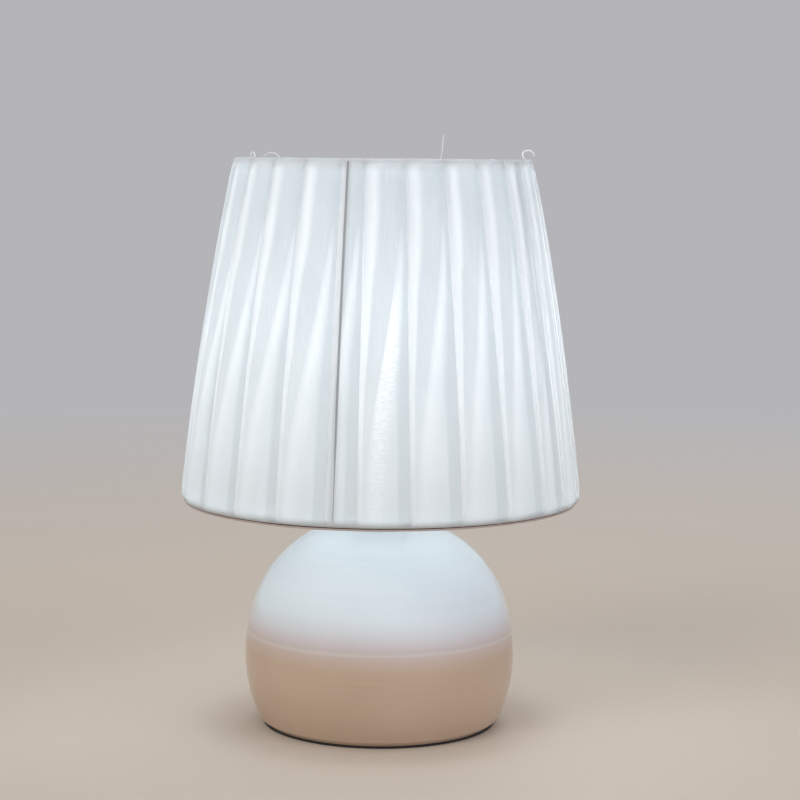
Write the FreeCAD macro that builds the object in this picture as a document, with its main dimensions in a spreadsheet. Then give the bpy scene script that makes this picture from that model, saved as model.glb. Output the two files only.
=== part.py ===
"""Table lamp: ceramic dome base, E14 lampholder, LED bulb and a tapered shade of pleated cloth.

Millimetres. The origin is at the centre of the foot, on the table, +Z is up and the front faces -Y.
"""
import FreeCAD, Part
import math
import os
import Sketcher
from FreeCAD import Placement, Rotation, Vector

SIZES = {
    # Ceramic base
    "foot_radius": 60.0,
    "belly_radius": 67.2,
    "belly_height": 33.5,
    "neck_radius": 15.0,
    "lower_arc_radius": 70.0,
    "side_arc_radius": 90.0,
    "side_sweep_angle": 18.16,
    "shoulder_arc_radius": 58.0,
    "cavity_low_angle": 40.0,
    "cavity_high_angle": 61.0,
    "ceramic_wall": 4.0,
    "foot_chamfer": 2.0,
    "foot_band": 6.0,
    "overcut": 1.0,
    # Underside
    "pad_thickness": 1.2,
    "plate_thickness": 2.0,
    "plate_lip": 3.0,
    "plate_gap": 0.3,
    # Cable outlet at the back
    "outlet_angle": 15.8,
    "outlet_radius": 6.0,
    "grommet_bore": 4.2,
    "grommet_flange": 8.0,
    "grommet_lip": 1.6,
    "grommet_gap": 0.1,
    "grommet_slack": 1.0,
    # Clamp at the neck
    "nipple_radius": 4.95,
    "thread_gap": 0.05,
    "nipple_bore": 4.0,
    "nipple_hole": 5.3,
    "nipple_tail": 1.5,
    "nipple_grip": 9.0,
    "gasket_thickness": 1.0,
    "gasket_margin": 1.0,
    "cap_sheet": 1.0,
    "cap_radius": 17.0,
    "cap_clearance": 0.3,
    "washer_radius": 13.0,
    "fibre_radius": 14.0,
    "fibre_thickness": 1.0,
    "washer_thickness": 1.5,
    "nut_flats": 14.0,
    "nut_height": 3.5,
    # Lampholder
    "holder_radius": 13.9,
    "holder_wall": 1.8,
    "holder_cap_height": 18.0,
    "holder_foot_radius": 9.0,
    "holder_foot_height": 5.4,
    "holder_taper_top": 5.0,
    "holder_rim_depth": 4.0,
    "holder_core_radius": 8.0,
    "sleeve_height": 36.0,
    "sleeve_shoulder": 15.2,
    "shoulder_height": 3.0,
    "sleeve_mouth": 9.6,
    "insert_rise": 1.0,
    "insert_floor": 5.0,
    "insert_depth": 24.0,
    "insert_gap": 0.2,
    "shell_wall": 0.3,
    "shell_gap": 0.1,
    "contact_width": 4.0,
    "contact_sheet": 0.5,
    "screw_radius": 1.5,
    "screw_length": 4.0,
    # Shade rings and fitter
    "fitter_rise": 13.0,
    "fitter_sheet": 1.5,
    "fitter_radius": 25.0,
    "fitter_gap": 0.7,
    "ring_radius": 20.5,
    "ring_hub": 17.0,
    "ring_flange": 2.0,
    "ring_height": 6.0,
    "ring_gap": 0.1,
    "flute_radius": 1.5,
    "flute_offset": 0.6,
    "flute_count": 18,
    # Bulb
    "bulb_cap_radius": 6.95,
    "bulb_cap_height": 19.5,
    "bulb_tip_height": 5.0,
    "bulb_tip_radius": 2.6,
    "bulb_tip_chamfer": 0.6,
    "insulator_rise": 1.0,
    "insulator_lip": 0.8,
    "bulb_seat_gap": 0.3,
    "bulb_sheet": 0.4,
    "housing_tail": 2.0,
    "housing_step": 2.0,
    "housing_neck": 8.6,
    "housing_radius": 17.6,
    "housing_height": 24.0,
    "housing_wall": 1.3,
    "housing_rim": 5.0,
    "housing_floor": 4.0,
    "globe_radius": 22.5,
    "globe_wall": 1.0,
    "globe_seat": 17.0,
    "globe_facets": 3,
    "board_thickness": 1.0,
    "chip_size": 2.8,
    "chip_height": 0.7,
    "chip_circle": 10.0,
    "chip_count": 8,
    "card_height": 14.4,
    "card_half_width": 6.0,
    "can_height": 7.2,
    "can_rise": 5.8,
    "choke_height": 5.0,
    "choke_rise": 7.2,
    "driver_part_radius": 3.0,
    "driver_part_offset": 2.4,
    # Shade
    "shade_drop": 21.0,
    "shade_height": 167.0,
    "shade_bottom_radius": 100.0,
    "shade_top_radius": 74.0,
    "shade_bow_width": 1.6,
    "frame_wire": 1.1,
    "wire_flats": 8,
    "upright_wire": 1.0,
    "upright_gap": 0.15,
    "frame_gap": 0.05,
    "arm_wire": 1.25,
    "arm_bend": 15.0,
    "arm_flat": 12.0,
    "arm_count": 3,
    "arm_angle": 77.6,
    "arm_end": 0.8,
    "liner_wall": 0.4,
    "cloth": 0.3,
    "layer_gap": 0.35,
    "liner_gap": 0.3,
    "top_hem_width": 6.0,
    "bottom_hem_width": 2.3,
    # Pleats
    "panel_count": 5,
    "pleats_in_panel": 5,
    "seam_angle": 257.6,
    "seam_gap": 0.5,
    "underlay_width": 3.0,
    "fold_1_angle": 6.7,
    "fold_2_angle": 4.2,
    "fold_3_angle": 9.0,
    "fold_4_angle": 10.5,
    "fold_5_angle": 12.5,
}


class Size:
    """A length: its value now, and the sheet's expression that keeps it up to date."""

    def __init__(self, value, text):
        self.value = value
        self.text = text

    def joined(self, other, sign, value):
        return Size(value, f"({self.text} {sign} {text_of(other)})")

    def __add__(self, other):
        return self.joined(other, "+", self.value + value_of(other))

    def __sub__(self, other):
        return self.joined(other, "-", self.value - value_of(other))

    def __mul__(self, other):
        return self.joined(other, "*", self.value * value_of(other))

    def __truediv__(self, other):
        return self.joined(other, "/", self.value / value_of(other))

    def __neg__(self):
        return self * -1


def value_of(size):
    return size.value if isinstance(size, Size) else size


def text_of(size):
    return size.text if isinstance(size, Size) else f"{size:g}"


def root(size):
    return Size(math.sqrt(size.value), f"sqrt({size.text})")


def sine(size):
    return Size(math.sin(math.radians(size.value)), f"sin({size.text})")


def cosine(size):
    return Size(math.cos(math.radians(size.value)), f"cos({size.text})")


def leg(hypotenuse, other):
    """The other short side of a right-angled triangle."""
    return root(hypotenuse * hypotenuse - other * other)


doc = FreeCAD.newDocument("TableLamp")
sheet = doc.addObject("Spreadsheet::Sheet", "Dims")
for row, (name, number) in enumerate(SIZES.items(), start=1):
    sheet.set(f"A{row}", name)
    sheet.set(f"B{row}", f"{number:g}")
    sheet.setAlias(f"B{row}", name)
doc.recompute()


def size(name):
    return Size(float(sheet.get(name)), f"Dims.{name}")


D = {name: size(name) for name in SIZES}
V = {name: entry.value for name, entry in D.items()}
subparts = []


def bind(thing, **properties):
    """Ties properties to sizes. A double underscore stands for a dot."""
    for name, entry in properties.items():
        thing.setExpression(name.replace("__", "."), text_of(entry))
    return thing


def keep(thing, name):
    """Names a finished sub-part and puts it on the list to be written."""
    thing.Label = name
    subparts.append(thing)
    return thing


# Sketches and turned pieces

def plane_of(body, role):
    return next(item for item in body.Origin.OriginFeatures if item.Role == role)


def new_sketch(body, name, role="XZ_Plane"):
    sketch = body.newObject("Sketcher::SketchObject", name)
    sketch.AttachmentSupport = [(plane_of(body, role), "")]
    sketch.MapMode = "FlatFace"
    return sketch


def pin(sketch, edge, end, kind, entry):
    """Holds one coordinate of a point at a size, or on the axis where it is zero."""
    if value_of(entry) == 0:
        axis = -2 if kind == "DistanceX" else -1
        sketch.addConstraint(Sketcher.Constraint("PointOnObject", edge, end, axis))
        return
    number = sketch.addConstraint(Sketcher.Constraint(kind, -1, 1, edge, end, value_of(entry)))
    sketch.setExpression(f"Constraints[{number}]", text_of(entry))


def arc_between(start, end, radius):
    """The short arc between two points. A negative radius puts its centre on the right of the way there."""
    middle = (start + end) * 0.5
    half = (end - start).Length / 2
    side = Vector(start.y - end.y, end.x - start.x, 0).normalize() * (1 if radius > 0 else -1)
    sagitta = abs(radius) - math.sqrt(radius * radius - half * half)
    crest = middle - side * sagitta
    return Part.Arc(start, crest, end) if radius > 0 else Part.Arc(end, crest, start)


def closed_outline(sketch, corners, arcs=None):
    """Closed outline through corners (x, y). arcs gives the radius of the edge that leaves a corner."""
    arcs = arcs or {}
    points = [Vector(value_of(x), value_of(y), 0) for x, y in corners]
    ends = []
    for index, point in enumerate(points):
        following = points[(index + 1) % len(points)]
        radius = arcs.get(index)
        if radius is None:
            edge = sketch.addGeometry(Part.LineSegment(point, following))
            ends.append((edge, 1, 2))
            continue
        edge = sketch.addGeometry(arc_between(point, following, radius.value))
        ends.append((edge, 1, 2) if radius.value > 0 else (edge, 2, 1))
        number = sketch.addConstraint(Sketcher.Constraint("Radius", edge, abs(radius.value)))
        sketch.setExpression(f"Constraints[{number}]", f"abs({radius.text})")
    for index, (edge, start, end) in enumerate(ends):
        next_edge, next_start, _ = ends[(index + 1) % len(ends)]
        sketch.addConstraint(Sketcher.Constraint("Coincident", edge, end, next_edge, next_start))
        pin(sketch, edge, start, "DistanceX", corners[index][0])
        pin(sketch, edge, start, "DistanceY", corners[index][1])


def revolve(body, sketch, name, kind="PartDesign::Revolution"):
    feature = body.newObject(kind, name)
    feature.Profile = sketch
    feature.ReferenceAxis = (sketch, ["V_Axis"])
    feature.Angle = 360
    return feature


def turned(name, corners, arcs=None, finished=True):
    """A piece of revolution about Z, from its half section (radius, height)."""
    body = doc.addObject("PartDesign::Body", f"{name}_body")
    section = new_sketch(body, f"{name}_section")
    closed_outline(section, corners, arcs)
    revolve(body, section, f"{name}_turn")
    return keep(body, name) if finished else body


def ring_section(inner, outer, low, high):
    return [(inner, low), (outer, low), (outer, high), (inner, high)]


# Ceramic base

lower_x = D["belly_radius"] - D["lower_arc_radius"]
side_x = D["belly_radius"] - D["side_arc_radius"]
centre_step = D["side_arc_radius"] - D["shoulder_arc_radius"]
shoulder_x = side_x + centre_step * cosine(D["side_sweep_angle"])
shoulder_z = D["belly_height"] + centre_step * sine(D["side_sweep_angle"])


def lower_radius(height, inset=0):
    """Radius of the dome below its belly."""
    return lower_x + leg(D["lower_arc_radius"] - inset, D["belly_height"] - height)


def shoulder_height(radius, inset=0):
    """Height of the dome's shoulder at a radius."""
    return shoulder_z + leg(D["shoulder_arc_radius"] - inset, radius - shoulder_x)


def shoulder_point(angle, inset):
    reach = D["shoulder_arc_radius"] - inset
    return shoulder_x + reach * cosine(angle), shoulder_z + reach * sine(angle)


neck_height = shoulder_height(D["neck_radius"])
neck_inside = shoulder_height(D["neck_radius"], D["ceramic_wall"])
ceramic_low = D["pad_thickness"]
foot_edge = ceramic_low + D["foot_chamfer"]
plate_top = ceramic_low + D["plate_thickness"]
floor_opening = D["foot_radius"] - D["foot_band"] - D["plate_lip"]
plate_radius = D["foot_radius"] - D["foot_band"]


def make_ceramic_body():
    """Ball-like shell: its lower curve, side and shoulder are tangent arcs outside, straight steps inside."""
    body = doc.addObject("PartDesign::Body", "ceramic_shell")
    outside = new_sketch(body, "dome_outside")
    side_end = (side_x + D["side_arc_radius"] * cosine(D["side_sweep_angle"]),
                D["belly_height"] + D["side_arc_radius"] * sine(D["side_sweep_angle"]))
    closed_outline(outside, [
        (lower_radius(foot_edge), foot_edge), (D["belly_radius"], D["belly_height"]), side_end,
        (D["neck_radius"], neck_height), (0, neck_height), (0, ceramic_low),
        (D["foot_radius"] - D["foot_chamfer"], ceramic_low)],
        {0: D["lower_arc_radius"], 1: D["side_arc_radius"], 2: D["shoulder_arc_radius"]})
    revolve(body, outside, "dome_turn")
    inside = new_sketch(body, "dome_inside")
    wall = D["ceramic_wall"]
    inner_low = plate_top + wall
    closed_outline(inside, [
        (lower_radius(inner_low, wall), inner_low), outlet_point(-wall),
        (D["belly_radius"] - wall, D["belly_height"]), shoulder_point(D["side_sweep_angle"], wall),
        shoulder_point(D["cavity_low_angle"], wall), shoulder_point(D["cavity_high_angle"], wall),
        (D["neck_radius"], neck_inside), (0, neck_inside), (0, inner_low)])
    revolve(body, inside, "cavity", "PartDesign::Groove")
    floor = new_sketch(body, "floor_opening")
    floor_high = inner_low + D["overcut"]
    closed_outline(floor, [
        (0, ceramic_low), (plate_radius, ceramic_low), (plate_radius, plate_top),
        (floor_opening, plate_top), (floor_opening, floor_high), (0, floor_high)])
    revolve(body, floor, "floor_cut", "PartDesign::Groove")
    neck = new_sketch(body, "neck_hole")
    closed_outline(neck, ring_section(
        0, D["nipple_hole"], neck_inside - D["overcut"], neck_height + D["overcut"]))
    revolve(body, neck, "neck_cut", "PartDesign::Groove")
    drill = bind(doc.addObject("Part::Cylinder", "outlet_drill"),
                 Radius=D["outlet_radius"], Height=D["ceramic_wall"] * 4)
    turn_to_outlet(drill, D["ceramic_wall"] * -2)
    cut = doc.addObject("Part::Cut", "ceramic_cut")
    cut.Base = body
    cut.Tool = drill
    keep(cut, "ceramic_body")


def outlet_point(depth):
    """Where the axis of the cable outlet is at a depth outside the wall: (distance from Z, height)."""
    out = D["lower_arc_radius"] + depth
    return lower_x + out * cosine(D["outlet_angle"]), D["belly_height"] - out * sine(D["outlet_angle"])


def turn_to_outlet(thing, depth):
    """Lays a piece made about Z along the cable outlet, square to the wall, from depth outside it."""
    away, height = outlet_point(depth)
    thing.Placement = Placement(Vector(0, 0, 0), Rotation(Vector(-1, 0, 0), 90 + V["outlet_angle"]))
    return bind(thing, Placement__Rotation__Angle=D["outlet_angle"] + 90,
                Placement__Base__y=away, Placement__Base__z=height)


def make_underside():
    turned("bottom_plate", ring_section(0, plate_radius - D["plate_gap"], ceramic_low, plate_top))
    turned("foot_pad", ring_section(0, D["foot_radius"] - D["foot_chamfer"], 0, ceramic_low))


def make_grommet():
    barrel = D["outlet_radius"] - D["grommet_gap"]
    wall = D["ceramic_wall"] + D["grommet_slack"]
    lip = D["grommet_lip"]
    body = turned("cable_grommet", [
        (D["grommet_bore"], -(wall + lip)), (barrel + lip / 2, -(wall + lip)), (barrel + lip / 2, -wall),
        (barrel, -wall), (barrel, 0), (D["grommet_flange"], 0), (D["grommet_flange"], lip / 2),
        (D["grommet_flange"] - lip / 2, lip), (D["grommet_bore"], lip)])
    turn_to_outlet(body, 0)


# Clamp at the neck

cap_base = neck_height + D["gasket_thickness"]
holder_base = cap_base + D["cap_sheet"]
fibre_low = neck_inside - D["fibre_thickness"]
washer_low = fibre_low - D["washer_thickness"]
nut_low = washer_low - D["nut_height"]


def make_neck_clamp():
    hole = D["nipple_hole"]
    turned("nipple", ring_section(
        D["nipple_bore"], D["nipple_radius"], nut_low - D["nipple_tail"], holder_base + D["nipple_grip"]))
    turned("neck_gasket", ring_section(
        hole, D["neck_radius"] - D["gasket_margin"], neck_height, cap_base))
    rim = D["cap_radius"] - D["cap_sheet"]
    skirt = shoulder_height(rim) + D["cap_clearance"]
    turned("neck_cap", [
        (hole, cap_base), (rim, cap_base), (rim, skirt), (D["cap_radius"], skirt),
        (D["cap_radius"], holder_base - D["cap_sheet"] / 2),
        (D["cap_radius"] - D["cap_sheet"] / 2, holder_base), (hole, holder_base)])
    turned("fibre_washer", ring_section(hole, D["fibre_radius"], fibre_low, neck_inside))
    turned("clamp_washer", ring_section(hole, D["washer_radius"], washer_low, fibre_low))
    hexagon = bind(doc.addObject("Part::Prism", "nut_block"), Circumradius=D["nut_flats"] / math.sqrt(3),
                   Height=D["nut_height"], Placement__Base__z=nut_low)
    hexagon.Polygon = 6
    tapped = bind(doc.addObject("Part::Cylinder", "nut_bore"), Radius=D["nipple_radius"] + D["thread_gap"],
                  Height=D["nut_height"] + D["overcut"] * 2, Placement__Base__z=nut_low - D["overcut"])
    nut = doc.addObject("Part::Cut", "nut_cut")
    nut.Base = hexagon
    nut.Tool = tapped
    keep(nut, "hex_nut")


# Lampholder

sleeve_low = holder_base + D["holder_cap_height"]
sleeve_high = sleeve_low + D["sleeve_height"]
sleeve_bore = D["holder_radius"] - D["holder_wall"]
fitter_low = sleeve_low + D["fitter_rise"]
insert_low = sleeve_low + D["insert_rise"]
socket_floor = insert_low + D["insert_floor"]
insert_high = insert_low + D["insert_depth"] + D["insert_floor"]
shell_bore = D["bulb_cap_radius"] + D["ring_gap"]
shell_outside = shell_bore + D["shell_wall"]
lock_height = holder_base + D["nipple_grip"] / 2


def make_lampholder():
    wall = D["holder_wall"]
    foot = D["holder_foot_radius"]
    cap = turned("holder_cap", [
        (D["nipple_radius"] + D["thread_gap"], holder_base), (foot, holder_base),
        (foot, holder_base + D["holder_foot_height"]),
        (D["holder_radius"], sleeve_low - D["holder_taper_top"]),
        (D["holder_radius"], sleeve_low), (sleeve_bore, sleeve_low),
        (sleeve_bore, sleeve_low - D["holder_rim_depth"]),
        (D["holder_core_radius"], holder_base + D["nipple_grip"]),
        (D["nipple_radius"] + D["thread_gap"], holder_base + D["nipple_grip"])], finished=False)
    drill = side_pin("lock_hole", D["screw_radius"] + D["ring_gap"], D["holder_radius"])
    tapped = doc.addObject("Part::Cut", "tapped_cap")
    tapped.Base = cap
    tapped.Tool = drill
    keep(tapped, "holder_cap")
    keep(side_pin("lock_pin", D["screw_radius"], D["screw_length"]), "lock_screw")
    turned("holder_sleeve", [
        (sleeve_bore, sleeve_low), (D["sleeve_shoulder"], sleeve_low),
        (D["sleeve_shoulder"], sleeve_low + D["shoulder_height"]),
        (D["holder_radius"], sleeve_low + D["shoulder_height"]), (D["holder_radius"], sleeve_high),
        (D["sleeve_mouth"], sleeve_high), (D["sleeve_mouth"], sleeve_high - wall),
        (sleeve_bore, sleeve_high - wall)])
    insert_radius = sleeve_bore - D["insert_gap"]
    bore = shell_outside + D["shell_gap"]
    turned("holder_insert", [
        (0, insert_low), (insert_radius, insert_low), (insert_radius, insert_high), (bore, insert_high),
        (bore, socket_floor), (0, socket_floor)])
    turned("screw_shell", ring_section(
        shell_bore, shell_outside, socket_floor + D["bulb_tip_height"], insert_high))
    make_centre_contact()
    make_terminal_screws()


def make_centre_contact():
    """A bent leaf on the socket floor that springs up against the bulb's tip."""
    body = doc.addObject("PartDesign::Body", "leaf")
    section = new_sketch(body, "leaf_section")
    sheet_z = D["contact_sheet"]
    tip = bulb_low - D["frame_gap"]
    half = D["bulb_tip_radius"]
    closed_outline(section, [
        (-half * 2, socket_floor), (half, socket_floor), (half * 2, tip - sheet_z * 2),
        (half, tip), (-half, tip), (-half, tip - sheet_z), (half - sheet_z, tip - sheet_z),
        (half * 2 - sheet_z * 2, tip - sheet_z * 2), (half - sheet_z / 2, socket_floor + sheet_z),
        (-half * 2, socket_floor + sheet_z)])
    pad = body.newObject("PartDesign::Pad", "leaf_pad")
    pad.Profile = section
    pad.SideType = "Symmetric"
    bind(pad, Length=D["contact_width"])
    keep(body, "centre_contact")


def side_pin(name, radius, length):
    """A pin along +Y through the foot of the lampholder, from the nipple outwards."""
    pin_body = bind(doc.addObject("Part::Cylinder", name), Radius=radius, Height=length)
    pin_body.Placement = Placement(Vector(0, 0, 0), Rotation(Vector(-1, 0, 0), 90))
    return bind(pin_body, Placement__Base__y=D["nipple_radius"] + D["thread_gap"],
                Placement__Base__z=lock_height)


def make_terminal_screws():
    """Two screws in the underside of the insert."""
    across = D["holder_radius"] / 2
    pair = [
        bind(doc.addObject("Part::Cylinder", f"terminal_{side}"), Radius=D["screw_radius"],
             Height=D["screw_length"], Placement__Base__x=across * sign,
             Placement__Base__z=insert_low - D["screw_length"])
        for side, sign in (("left", -1), ("right", 1))]
    group = doc.addObject("Part::Compound", "terminal_pair")
    group.Links = pair
    keep(group, "terminal_screws")


# Shade rings

def make_shade_ring(name, flange_low, hub_low):
    """A fluted flange with a hub, bored to run on the sleeve's thread."""
    body = doc.addObject("PartDesign::Body", f"{name}_body")
    bore = D["holder_radius"] + D["ring_gap"]
    section = new_sketch(body, f"{name}_section")
    flange_high = flange_low + D["ring_flange"]
    if hub_low is None:
        high = flange_low + D["ring_height"]
        corners = [(bore, flange_low), (D["ring_radius"], flange_low), (D["ring_radius"], flange_high),
                   (D["ring_hub"], flange_high), (D["ring_hub"], high), (bore, high)]
    else:
        corners = [(bore, hub_low), (D["ring_hub"], hub_low), (D["ring_hub"], flange_low),
                   (D["ring_radius"], flange_low), (D["ring_radius"], flange_high), (bore, flange_high)]
    closed_outline(section, corners)
    revolve(body, section, f"{name}_turn")
    marks = new_sketch(body, f"{name}_flute_sketch", "XY_Plane")
    flute_centre = Vector(V["ring_radius"] + V["flute_offset"], 0, 0)
    circle = marks.addGeometry(Part.Circle(flute_centre, Vector(0, 0, 1), V["flute_radius"]))
    number = marks.addConstraint(Sketcher.Constraint("Radius", circle, V["flute_radius"]))
    marks.setExpression(f"Constraints[{number}]", D["flute_radius"].text)
    pin(marks, circle, 3, "DistanceX", D["ring_radius"] + D["flute_offset"])
    marks.addConstraint(Sketcher.Constraint("PointOnObject", circle, 3, -1))
    flute = body.newObject("PartDesign::Pocket", f"{name}_flute")
    flute.Profile = marks
    flute.Type = "ThroughAll"
    flute.Reversed = True
    pattern = body.newObject("PartDesign::PolarPattern", f"{name}_flutes")
    pattern.Originals = [flute]
    pattern.Axis = (marks, ["N_Axis"])
    pattern.Angle = 360
    bind(pattern, Occurrences=D["flute_count"])
    body.Tip = pattern
    keep(body, name)


def make_shade_rings():
    make_shade_ring("lower_shade_ring", fitter_low - D["ring_flange"], fitter_low - D["ring_height"])
    make_shade_ring("upper_shade_ring", fitter_low + D["fitter_sheet"], None)


# Bulb

bulb_shoulder = sleeve_high + D["bulb_seat_gap"]
shell_low = bulb_shoulder - D["bulb_cap_height"]
bulb_low = shell_low - D["bulb_tip_height"]
housing_high = bulb_shoulder + D["housing_height"]
globe_centre = housing_high + leg(D["globe_radius"], D["globe_seat"])


def make_bulb():
    cap_in = D["bulb_cap_radius"] - D["bulb_sheet"]
    tip = D["bulb_tip_radius"]
    rise = D["insulator_rise"]
    turned("bulb_cap", ring_section(cap_in, D["bulb_cap_radius"], shell_low, bulb_shoulder))
    turned("bulb_insulator", [
        (tip, bulb_low + rise), (tip + D["insulator_lip"], bulb_low + rise),
        (cap_in, shell_low), (cap_in, shell_low + rise), (tip, shell_low + rise)])
    turned("bulb_contact", [
        (0, bulb_low), (tip - D["bulb_tip_chamfer"], bulb_low), (tip, bulb_low + D["bulb_tip_chamfer"]),
        (tip, shell_low), (0, shell_low)])
    wall = D["housing_wall"]
    neck = D["housing_neck"]
    seat = D["housing_radius"]
    board_low = housing_high - D["board_thickness"] - wall
    tail = cap_in - D["frame_gap"]
    tail_low = shell_low + D["housing_tail"]
    turned("bulb_housing", [
        (tail - wall, tail_low), (tail, tail_low), (tail, bulb_shoulder), (neck, bulb_shoulder),
        (neck, bulb_shoulder + D["housing_step"]), (seat, housing_high - D["housing_rim"]),
        (seat, housing_high), (seat - wall, housing_high), (seat - wall, board_low),
        (neck - wall, bulb_shoulder + D["housing_floor"]), (tail - wall, bulb_shoulder)])
    turned("led_board", ring_section(
        0, seat - wall - D["frame_gap"], board_low, board_low + D["board_thickness"]))
    make_led_chips(board_low + D["board_thickness"])
    make_led_driver(board_low)
    make_globe()


def make_led_chips(level):
    count = int(V["chip_count"])
    chips = []
    for number in range(count):
        angle = Size(360.0 / count * number, f"(360 / Dims.chip_count * {number})")
        chip = bind(doc.addObject("Part::Box", f"chip_{number + 1}"),
                    Length=D["chip_size"], Width=D["chip_size"], Height=D["chip_height"])
        half = D["chip_size"] / 2
        chip.Placement = Placement(Vector(0, 0, 0), Rotation(Vector(0, 0, 1), angle.value))
        bind(chip, Placement__Base__z=level,
             Placement__Base__x=(D["chip_circle"] - half) * cosine(angle) + half * sine(angle),
             Placement__Base__y=(D["chip_circle"] - half) * sine(angle) - half * cosine(angle))
        chips.append(chip)
    group = doc.addObject("Part::Compound", "chip_group")
    group.Links = chips
    keep(group, "led_chips")


def make_led_driver(board_low):
    """Upright circuit board behind the light, with a capacitor and a choke on it."""
    low = board_low - D["card_height"]
    half = D["card_half_width"]
    radius = D["driver_part_radius"]
    offset = D["driver_part_offset"]
    away = D["board_thickness"] / 2 + radius
    card = bind(doc.addObject("Part::Box", "driver_card"), Length=half * 2, Width=D["board_thickness"],
                Height=D["card_height"], Placement__Base__x=-half, Placement__Base__z=low,
                Placement__Base__y=D["board_thickness"] / -2)
    can = bind(doc.addObject("Part::Cylinder", "driver_can"), Radius=radius, Height=D["can_height"],
               Placement__Base__x=offset, Placement__Base__y=away, Placement__Base__z=low + D["can_rise"])
    coil = bind(doc.addObject("Part::Cylinder", "driver_choke"), Radius=radius, Height=D["choke_height"],
                Placement__Base__x=-offset, Placement__Base__y=-away, Placement__Base__z=low + D["choke_rise"])
    group = doc.addObject("Part::Compound", "driver_group")
    group.Links = [card, can, coil]
    keep(group, "led_driver")


def make_globe():
    """Diffuser: a ball outside, with a wall that is straight in short steps inside."""
    inner = D["globe_radius"] - D["globe_wall"]
    steps = int(V["globe_facets"])
    corners = [(D["globe_seat"], housing_high), (0, globe_centre + D["globe_radius"]),
               (0, globe_centre + inner)]
    for step in range(1, steps + 1):
        angle = Size(90 - 90 * step / steps, f"(90 - 90 * {step} / Dims.globe_facets)")
        corners.append((inner * cosine(angle), globe_centre + inner * sine(angle)))
    corners.append((leg(inner, globe_centre - housing_high), housing_high))
    turned("bulb_globe", corners, {0: D["globe_radius"]})


# Shade frame

shade_low = fitter_low - D["shade_drop"]
shade_top = shade_low + D["shade_height"]
stack = D["liner_gap"] + D["cloth"] * 3 + D["layer_gap"] * 2
hem_low = shade_low + D["cloth"]
hem_high = shade_top - D["cloth"]


def bowed_radius(inset, height):
    """Radius of the shade at a height: a straight taper with a slight bow, set in from the outside."""
    share = (height - shade_low.value) / V["shade_height"]
    taper = V["shade_bottom_radius"] + (V["shade_top_radius"] - V["shade_bottom_radius"]) * share
    return taper + 4 * V["shade_bow_width"] * share * (1 - share) - inset


middle_height = shade_low + D["shade_height"] / 2
middle_radius = (D["shade_bottom_radius"] + D["shade_top_radius"]) / 2 + D["shade_bow_width"]


def make_liner():
    outer = stack
    inner = stack + D["liner_wall"]
    turned("shade_liner", [
        (D["shade_bottom_radius"] - inner, hem_low), (D["shade_bottom_radius"] - outer, hem_low),
        (middle_radius - outer, middle_height),
        (D["shade_top_radius"] - outer, hem_high), (D["shade_top_radius"] - inner, hem_high),
        (middle_radius - inner, middle_height)])


liner_inset = stack + D["liner_wall"]
ring_inset = liner_inset + D["frame_wire"] + D["frame_gap"]
bottom_ring_z = hem_low + D["frame_wire"]
top_ring_z = hem_high - D["frame_wire"]


def make_frame_ring(name, radius, height):
    """Round wire with narrow flats, closed into a ring."""
    flats = int(V["wire_flats"])
    corners = []
    for number in range(flats):
        angle = Size(360 * (number + 0.5) / flats, f"(360 * ({number} + 0.5) / Dims.wire_flats)")
        corners.append((radius + D["frame_wire"] * cosine(angle), height + D["frame_wire"] * sine(angle)))
    turned(name, corners)


def taper_at(height, inset):
    """The same radius as a Size, without the bow, which is nothing at the two rings."""
    share = (height - shade_low) / D["shade_height"]
    return D["shade_bottom_radius"] + (D["shade_top_radius"] - D["shade_bottom_radius"]) * share - inset


def feature(name, shape):
    thing = doc.addObject("Part::Feature", f"{name}_form")
    thing.Shape = shape
    return keep(thing, name)


def swept_wire(edges, radius):
    """A round wire along a chain of tangent edges."""
    path = Part.Wire(edges)
    start = edges[0].valueAt(edges[0].FirstParameter)
    direction = edges[0].tangentAt(edges[0].FirstParameter)
    section = Part.Wire(Part.makeCircle(radius, start, direction))
    return path.makePipeShell([section], True, False)


def make_uprights():
    """Straight wires from ring to ring, along the inside of the liner."""
    inset = liner_inset + D["upright_wire"] + D["upright_gap"]
    clear = D["frame_wire"] + D["frame_gap"]
    ends = []
    for level in (bottom_ring_z + clear, top_ring_z - clear):
        ends.append(Vector(taper_at(level, inset).value, 0, level.value))
    span = ends[1] - ends[0]
    shape = Part.makeCylinder(V["upright_wire"], span.Length, ends[0], span)
    for number in range(int(V["panel_count"])):
        upright = feature(f"upright_{number + 1}", shape)
        upright.Placement = turn_about_z(V["seam_angle"] + 360 / V["panel_count"] * number)


def turn_about_z(angle):
    return Placement(Vector(0, 0, 0), Rotation(Vector(0, 0, 1), angle))


def make_fitter():
    turned("fitter_ring", ring_section(
        D["holder_radius"] + D["fitter_gap"], D["fitter_radius"],
        fitter_low, fitter_low + D["fitter_sheet"]))


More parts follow.
